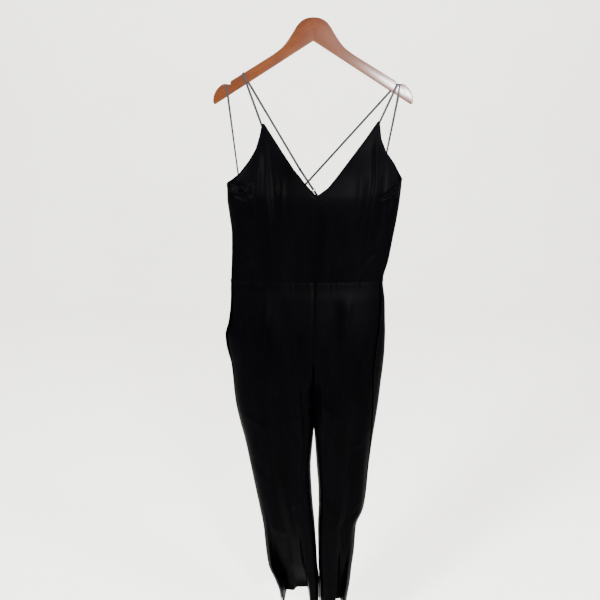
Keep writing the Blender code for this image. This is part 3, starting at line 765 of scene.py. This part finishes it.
def over_cloth(point, face, lift):
    """The point that lies lift inside the bodice's inner face, at a point's x and z."""
    x, z = point[0] * MM, point[1] * MM
    left, right = read(BODY, "left", z), read(BODY, "right", z)
    angle = np.arccos(1 - 2 * (x - left) / (right - left))
    angle = angle if face > 0 else 2 * math.pi - angle
    near = angle + np.array([-0.01, 0.0, 0.01])[:, None] + np.zeros((1, 3))
    levels = z + np.array([-1.0, 0.0, 1.0])[None, :] * 4 * MM + np.zeros((3, 1))
    points = body_surface(levels, near)[0]
    out = grid_normals(points, 1)[1, 1]
    middle = points[1, 1] - out * (CAD_CLOTH + lift)
    return Vector(middle.tolist())


def tab_directions(knots, across):
    """From the ring to where its tab is sewn, and out of the ribbon to the front."""
    _, ring, sewn = knots
    down = (sewn - ring).normalized()
    out = down.cross(Vector(across)).normalized()
    return down, out if out.y < 0 else -out


def strap_run(name, start, hanger, lean, wood_end, knots, across, finish):
    """A strap: from inside a strap point up the front of the hanger, over it, and down
    the back to its ring, through the ring and back up to its slider."""
    slider, ring, _ = knots
    top = over_wood(*hanger, lean, SEAM + STRAP / 2)
    down, out = tab_directions(knots, across[2])
    turn = ring - down * (RING_RADIUS - RING_INSET)
    near, far = slider + out * STRAP_APART, slider - out * STRAP_APART
    to_slider = [wood_end.lerp(near, t) for t in (0.35, 0.7)]
    under = arc(turn, down, out, RING_TURN, math.pi / 2, -math.pi / 2, 14)
    back_up = [far, far - (ring - slider).normalized() * STRAP_TAIL]
    tail = [*to_slider, near, *under, *back_up]
    path = [*start, *top, wood_end, *tail]
    hints = [across[0]] * len(start) + [across[1]] * len(top) + [across[2]] * (1 + len(tail))
    path, hints = refine(path, hints, STRAP_STEP)
    piece = sweep(name + "_ribbon", path, hints, rounded_section(STRAP_WIDTH, STRAP))
    return ride(piece, name, finish)


def strap_tab(name, knots, across, finish):
    """The short ribbon folded through the ring and sewn inside the back's upper edge."""
    _, ring, sewn = knots
    down, out = tab_directions(knots, across)
    turn = ring + down * (RING_RADIUS - RING_INSET)
    beside = out * (STRAP / 2 + 0.1 * MM)  # to each of the two layers
    middle = turn + down * ((sewn - turn).length * 0.45)
    fold = arc(turn, down, out, RING_TURN, math.pi / 2, 3 * math.pi / 2, 14)
    path = [sewn + beside, middle + beside, *fold, middle - beside, sewn - beside]
    path, hints = refine(path, [Vector(across)] * len(path), TAB_STEP)
    piece = sweep(name + "_ribbon", path, hints, rounded_section(STRAP_WIDTH, STRAP))
    return ride(piece, name, finish)


def strap_ring(name, knots, across, finish):
    """The round ring between a strap and its tab."""
    _, ring, sewn = knots
    down = (sewn - ring).normalized()
    wide = Vector(across)
    wide = (wide - down * wide.dot(down)).normalized()
    circle = arc(ring, down, wide, RING_RADIUS, 0, 2 * math.pi, 48)[:-1]
    turns = np.linspace(0, 2 * math.pi, 16, endpoint=False)
    section = [(RING_WIRE * math.cos(t), RING_WIRE * math.sin(t)) for t in turns]
    piece = sweep(name + "_wire", circle, down.cross(wide), section, closed=True)
    return ride(piece, name, finish)


def strap_slider(name, node, finish):
    """The CAD frame with its edges softened."""
    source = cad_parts[node]
    mesh = source.data.copy()
    piece = linked(name, mesh)
    piece.matrix_world = source.matrix_world.copy()
    made = bmesh.new()
    made.from_mesh(mesh)
    bmesh.ops.dissolve_limit(made, angle_limit=math.radians(2), verts=made.verts, edges=made.edges)
    bmesh.ops.bevel(
        made, geom=made.edges, offset=SLIDER_ROUND, segments=3, profile=0.5, affect="EDGES",
        clamp_overlap=True,
    )
    smooth_mesh(made, mesh, 50)
    return ride(piece, node, finish)


def hanger_loop(name, side, sewn, near_sewn, finish):
    """A ribbon from inside the garment's side, up over the hanger's notch and back."""
    clear = SEAM + LOOP / 2
    top = over_wood(side * 191 * MM, NOTCH_Z, (0, 0), clear)
    below = Vector((side * 189.4 * MM, 0, -118 * MM))
    face = Vector((0, WOOD / 2 + clear, 0))
    apart = Vector((0, (LOOP + SEAM) / 2, 0))
    up = [sewn - apart, near_sewn - apart, below - face]
    path = [*up, *top, below + face, near_sewn + apart, sewn + apart]
    path, hints = refine(path, [Vector((1, 0, 0))] * len(path), STRAP_STEP)
    piece = sweep(name + "_ribbon", path, hints, rounded_section(LOOP_WIDTH, LOOP))
    return ride(piece, name, finish)


def straps(cloth, metal):
    """Both straps with their tabs, rings and sliders, and the two hanger loops."""
    lift = SEAM + STRAP / 2
    made = {}
    # knots: the slider, the ring and where the tab is sewn; across: a strap's width
    # direction at its front, over the wood and down the back
    sewn = over_cloth((28, -361), -1, TAB_DEPTH["left"])
    knots = [place(-29.2, -276.7, 20), place(3.5, -326, 24), sewn]
    across = [(0.933, 0, 0.36), (ARM_UP[0], 0, ARM_UP[1]), (0.863, 0, 0.505)]
    start = [over_cloth((-112.9, -182), 1, lift), over_cloth((-115.7, -175), 1, lift)]
    wood_end = Vector((-143.7 * MM, WOOD / 2 + lift, -85.5 * MM))
    x = -154.8 * MM
    top = (x, arm_top(-x) + 0.25 * MM)
    lean = (0.33, 0.598)
    made["strap_left"] = strap_run(
        "strap_left", start, top, lean, wood_end, knots, across, cloth
    )
    made["tab_left"] = strap_tab("tab_left", knots, across[2], cloth)
    made["ring_left"] = strap_ring("ring_left", knots, across[2], metal)

    sewn = over_cloth((-60, -361), -1, TAB_DEPTH["right"])
    knots = [place(-20.5, -317.1, 28.2), place(-30.9, -328.7, 26.8), sewn]
    across = [(0.907, 0, -0.42), (1, 0, 0), (0.744, 0, -0.668)]
    start = [over_cloth((147, -177), 1, lift), over_cloth((150, -170), 1, lift)]
    wood_end = Vector((172 * MM, WOOD / 2 + lift, -105 * MM))
    top = (186.2 * MM, NOTCH_Z + 0.2 * MM)
    lean = (-0.449, -0.908)
    made["strap_right"] = strap_run(
        "strap_right", start, top, lean, wood_end, knots, across, cloth
    )
    made["tab_right"] = strap_tab("tab_right", knots, across[2], cloth)
    made["ring_right"] = strap_ring("ring_right", knots, across[2], metal)

    sewn = over_cloth((-165, -324), -1, LOOP_DEPTH["left"])
    made["loop_left"] = hanger_loop("loop_left", -1, sewn, place(-172.5, -288, 13), cloth)
    sewn = over_cloth((156, -323), -1, LOOP_DEPTH["right"])
    made["loop_right"] = hanger_loop("loop_right", 1, sewn, place(162, -285, 11), cloth)
    for side in ("left", "right"):
        made[f"slider_{side}"] = strap_slider(f"slider_{side}_frame", f"slider_{side}", metal)
    return made


# ---- hanger --------------------------------------------------------------


def arm_top(x):
    """Height of the arm's upper edge at x from the middle."""
    return ARM_TOP[1] - ARM_TOP_FALL * (x - ARM_TOP[0])


def hanger_outline():
    """x and z of the right half, from the middle of the head round to the underside."""
    head = [(0, 47.8), (15, 45.6), (28, 38.8), (37.5, 28), (51.9, 6.2), (68.1, -13.2)]
    crown = smooth_path([place(x, z) for x, z in head] + [(ARM_TOP[0], 0, ARM_TOP[1])], 8)
    points = [(p[0], p[2]) for p in crown]
    inner, outer = NOTCH
    points.append((inner - NOTCH_EASE, arm_top(inner - NOTCH_EASE)))
    points += [(inner, NOTCH_Z), (outer, NOTCH_Z)]
    shoulder = [(195.5, -88.4), (204, -91.8), (214.5, -101.5), (221, -114)]
    tip = [(222.6, -124.5), (221.9, -130.2), (218.6, -132.5)]
    end = smooth_path([place(x, z) for x, z in shoulder], 6) + [place(x, z) for x, z in tip]
    points += [(p[0], p[2]) for p in end]
    points.append((0, 0))
    return points


def hanger_half(name, side, finish):
    """One mitred half of the hanger, its long edges rounded over."""
    made = bmesh.new()
    outline = [
        (max(x, MITRE_GAP), z - max(MITRE_GAP - x, 0) * ARM_FALL) for x, z in hanger_outline()
    ]
    front = [made.verts.new((side * x, -WOOD / 2, z)) for x, z in outline]
    face = made.faces.new(front)
    grown = bmesh.ops.extrude_face_region(made, geom=[face])
    moved = [v for v in grown["geom"] if isinstance(v, bmesh.types.BMVert)]
    bmesh.ops.translate(made, verts=moved, vec=(0, WOOD, 0))

    def on_rim(edge):
        one, two = edge.verts
        outwards = max(abs(one.co.x), abs(two.co.x))
        return abs(one.co.y - two.co.y) < 1e-6 and outwards > 2 * MITRE_GAP

    rims = [edge for edge in made.edges if on_rim(edge)]
    bmesh.ops.bevel(
        made, geom=rims, offset=WOOD_ROUND, segments=6, profile=0.5, affect="EDGES",
        clamp_overlap=False,
    )
    bmesh.ops.triangulate(made, faces=[f for f in made.faces if len(f.verts) > 4])
    bmesh.ops.recalc_face_normals(made, faces=made.faces)
    mesh = bpy.data.meshes.new(name)
    smooth_mesh(made, mesh, 30)
    return ride(linked(name + "_wood", mesh), name, finish)


# ---- finishes ------------------------------------------------------------


def new_material(name):
    made = bpy.data.materials.new(name)
    made.use_nodes = True
    tree = made.node_tree
    return made, tree, tree.nodes["Principled BSDF"]


def noise(tree, vector, scale, detail=4.0, rough=0.5):
    node = tree.nodes.new("ShaderNodeTexNoise")
    node.inputs["Scale"].default_value = scale
    node.inputs["Detail"].default_value = detail
    node.inputs["Roughness"].default_value = rough
    tree.links.new(vector, node.inputs["Vector"])
    return node.outputs["Fac"]


def stretched(tree, scale, turn=(0.0, 0.0, 0.0)):
    """Object coordinates, turned and then stretched."""
    place_node = tree.nodes.new("ShaderNodeTexCoord")
    turned = tree.nodes.new("ShaderNodeMapping")
    turned.vector_type = "TEXTURE"
    turned.inputs["Rotation"].default_value = turn
    scaled = tree.nodes.new("ShaderNodeMapping")
    scaled.inputs["Scale"].default_value = scale
    tree.links.new(place_node.outputs["Object"], turned.inputs["Vector"])
    tree.links.new(turned.outputs["Vector"], scaled.inputs["Vector"])
    return scaled.outputs["Vector"]


def ramp(tree, value, *stops):
    """A colour ramp through (place, colour) stops."""
    node = tree.nodes.new("ShaderNodeValToRGB")
    elements = node.color_ramp.elements
    while len(elements) > 1:
        elements.remove(elements[-1])
    elements[0].position, elements[0].color = stops[0][0], (*stops[0][1], 1)
    for position, colour in stops[1:]:
        elements.new(position).color = (*colour, 1)
    tree.links.new(value, node.inputs["Fac"])
    return node.outputs["Color"]


def remap(tree, value, low, high):
    node = tree.nodes.new("ShaderNodeMapRange")
    node.inputs["To Min"].default_value = low
    node.inputs["To Max"].default_value = high
    tree.links.new(value, node.inputs["Value"])
    return node.outputs["Result"]


def bump(tree, value, strength, distance, before=None):
    node = tree.nodes.new("ShaderNodeBump")
    node.inputs["Strength"].default_value = strength
    node.inputs["Distance"].default_value = distance
    tree.links.new(value, node.inputs["Height"])
    if before is not None:
        tree.links.new(before, node.inputs["Normal"])
    return node.outputs["Normal"]


def velvet_material():
    """Near-black pile: brushed patches, a fine nap and a soft sheen at the edges."""
    made, tree, shader = new_material("velvet_pile")
    brushed = noise(tree, stretched(tree, (1, 1, 0.3)), 22, 3.0, 0.55)
    nap = noise(tree, stretched(tree, (1, 1, 0.5)), 2400, 2.0, 0.6)
    ribs = noise(tree, stretched(tree, (1, 1, 0.1)), 420, 2.0, 0.5)
    colour = ramp(tree, brushed, (0.3, (0.0001, 0.0001, 0.0002)), (0.7, (0.0003, 0.0003, 0.0006)))
    tree.links.new(colour, shader.inputs["Base Color"])
    tree.links.new(remap(tree, brushed, 0.34, 0.52), shader.inputs["Roughness"])
    soft = bump(tree, ribs, 0.16, 0.0006)
    tree.links.new(bump(tree, nap, 0.22, 0.0003, soft), shader.inputs["Normal"])
    shader.inputs["Specular IOR Level"].default_value = 0.009
    shader.inputs["Sheen Weight"].default_value = 0.002
    shader.inputs["Sheen Roughness"].default_value = 0.32
    shader.inputs["Sheen Tint"].default_value = (0.60, 0.62, 0.82, 1)
    return made


def strap_material():
    """Dark satin ribbon with a fine crosswise weave."""
    made, tree, shader = new_material("strap_satin")
    worn = noise(tree, stretched(tree, (1, 1, 1)), 160, 3.0)
    weave = noise(tree, stretched(tree, (1, 1, 3)), 1800, 1.0)
    colour = ramp(tree, worn, (0.3, (0.003, 0.003, 0.004)), (0.7, (0.007, 0.007, 0.009)))
    tree.links.new(colour, shader.inputs["Base Color"])
    tree.links.new(remap(tree, worn, 0.42, 0.6), shader.inputs["Roughness"])
    tree.links.new(bump(tree, weave, 0.25, 0.0003), shader.inputs["Normal"])
    shader.inputs["Specular IOR Level"].default_value = 0.2
    return made


def metal_material():
    """Black lacquer on metal, a little scuffed."""
    made, tree, shader = new_material("black_lacquer")
    scuffs = noise(tree, stretched(tree, (1, 1, 1)), 700, 3.0)
    colour = ramp(tree, scuffs, (0.4, (0.003, 0.003, 0.0035)), (0.8, (0.012, 0.012, 0.013)))
    tree.links.new(colour, shader.inputs["Base Color"])
    tree.links.new(remap(tree, scuffs, 0.22, 0.42), shader.inputs["Roughness"])
    shader.inputs["Metallic"].default_value = 0.4
    shader.inputs["Specular IOR Level"].default_value = 0.2
    return made


def wood_material(name, dark, middle, light, lean):
    """Varnished wood with its grain along the hanger's arm, which leans by an angle."""
    made, tree, shader = new_material(name)
    along = stretched(tree, (1.6, 14, 22), (0, lean, 0))
    grain = noise(tree, along, 9, 6.0, 0.62)
    pores = noise(tree, stretched(tree, (5, 60, 90), (0, lean, 0)), 14, 3.0, 0.7)
    patches = noise(tree, stretched(tree, (1, 1, 1)), 9, 2.0)
    mixed = tree.nodes.new("ShaderNodeMix")
    mixed.data_type = "FLOAT"
    mixed.inputs["Factor"].default_value = 0.35
    tree.links.new(grain, mixed.inputs[2])
    tree.links.new(patches, mixed.inputs[3])
    colour = ramp(tree, mixed.outputs[0], (0.36, dark), (0.5, middle), (0.64, light))
    fine = ramp(tree, pores, (0.38, (0.62, 0.55, 0.50)), (0.52, (1, 1, 1)))
    shade = tree.nodes.new("ShaderNodeMix")
    shade.data_type = "RGBA"
    shade.blend_type = "MULTIPLY"
    shade.inputs["Factor"].default_value = 0.5
    tree.links.new(colour, shade.inputs[6])
    tree.links.new(fine, shade.inputs[7])
    tree.links.new(shade.outputs[2], shader.inputs["Base Color"])
    tree.links.new(remap(tree, grain, 0.32, 0.46), shader.inputs["Roughness"])
    tree.links.new(bump(tree, pores, 0.06, 0.0004), shader.inputs["Normal"])
    shader.inputs["Specular IOR Level"].default_value = 0.1
    shader.inputs["Coat Weight"].default_value = 0.3
    shader.inputs["Coat Roughness"].default_value = 0.16
    return made


def pale_material():
    """The studio's paper: pale, even, with a faint mottle."""
    made, tree, shader = new_material("studio_paper")
    mottle = noise(tree, stretched(tree, (1, 1, 1)), 3, 2.0)
    colour = ramp(tree, mottle, (0.3, (0.80, 0.785, 0.755)), (0.7, (0.815, 0.80, 0.77)))
    tree.links.new(colour, shader.inputs["Base Color"])
    shader.inputs["Roughness"].default_value = 0.9
    return made


# ---- studio --------------------------------------------------------------

FLOOR_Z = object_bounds()[0][2] - 0.17
WORLD = 0.5
CAMERA_PLACE = (-0.029, -1.5197, -0.1516)
CAMERA_PITCH = math.radians(16)
CAMERA_LENS = 39.06
SENSOR = 36


def studio():
    """A paper sweep: a floor that curves up into a wall behind."""
    radius, behind, front, half = 1.6, 3.2, -4.5, 7.0
    profile = [(front, FLOOR_Z), (behind, FLOOR_Z)]
    for k in range(1, 25):
        t = math.pi / 2 * k / 24
        profile.append((behind + radius * math.sin(t), FLOOR_Z + radius * (1 - math.cos(t))))
    profile.append((behind + radius, FLOOR_Z + 7))
    verts = [(side * half, y, z) for y, z in profile for side in (-1, 1)]
    faces = [(2 * i, 2 * i + 1, 2 * i + 3, 2 * i + 2) for i in range(len(profile) - 1)]
    mesh = bpy.data.meshes.new("sweep")
    mesh.from_pydata(verts, [], faces)
    mesh.shade_smooth()
    mesh.materials.append(pale_material())
    sweep_object = linked("sweep", mesh)


def area_light(name, place_at, aim, size, power):
    data = bpy.data.lights.new(name, "AREA")
    data.shape = "RECTANGLE"
    data.size, data.size_y = size
    data.energy = power
    light = linked(name, data)
    light.location = place_at
    light.rotation_euler = (Vector(aim) - Vector(place_at)).to_track_quat("-Z", "Y").to_euler()


def lights():
    world = bpy.data.worlds.new("studio")
    bpy.context.scene.world = world
    world.use_nodes = True
    background = world.node_tree.nodes["Background"].inputs
    background["Color"].default_value = (1, 0.99, 0.97, 1)
    background["Strength"].default_value = WORLD
    middle = (0, 0, -0.7)
    area_light("key", (-2.2, -2.4, 1.2), middle, (0.6, 1.8), 420)
    area_light("fill", (2.6, -1.8, 0.4), middle, (0.4, 1.8), 150)
    area_light("paper_left", (-3.2, 0.6, 3.4), (-0.6, 3.4, -1.2), (2.5, 2.5), 540)
    area_light("paper_right", (3.2, 0.6, 3.4), (0.6, 3.4, -1.2), (2.5, 2.5), 540)
    area_light("glare", (0.61, -2.0, -0.04), (0.19, 0, -0.1), (0.26, 0.24), 120)


def camera():
    data = bpy.data.cameras.new("camera")
    data.lens = CAMERA_LENS
    data.sensor_width = SENSOR
    made = linked("camera", data)
    made.location = CAMERA_PLACE
    made.rotation_euler = (math.pi / 2 - CAMERA_PITCH, 0, 0)
    bpy.context.scene.camera = made


def main():
    camera()
    studio()
    lights()
    velvet, satin, lacquer = velvet_material(), strap_material(), metal_material()
    left_wood = wood_material(
        "varnished_left",
        (0.036, 0.0068, 0.0003), (0.048, 0.0102, 0.0005), (0.068, 0.0170, 0.0010), -GRAIN_LEAN,
    )
    right_wood = wood_material(
        "varnished_right",
        (0.038, 0.0075, 0.0007), (0.050, 0.0110, 0.0012), (0.066, 0.0160, 0.0020), GRAIN_LEAN,
    )
    made = straps(satin, lacquer)
    hanger_half("hanger_left", -1, left_wood)
    hanger_half("hanger_right", 1, right_wood)
    front = bodice_panel("bodice_front", FRONT_EDGE, BODICE_COLUMNS, 1)
    back = bodice_panel("bodice_back", BACK_EDGE, BACK_COLUMNS, -1)
    front[0].data.materials.append(velvet)
    back[0].data.materials.append(velvet)
    for side in ("left", "right"):
        for piece, outer, above in (
            (*trouser_panel(side, 1), front[0]),
            (*trouser_panel(side, -1), back[0]),
            (*pocket_facing(side), front[0]),
        ):
            piece.data.materials.append(velvet)


main()
bpy.context.view_layer.update()
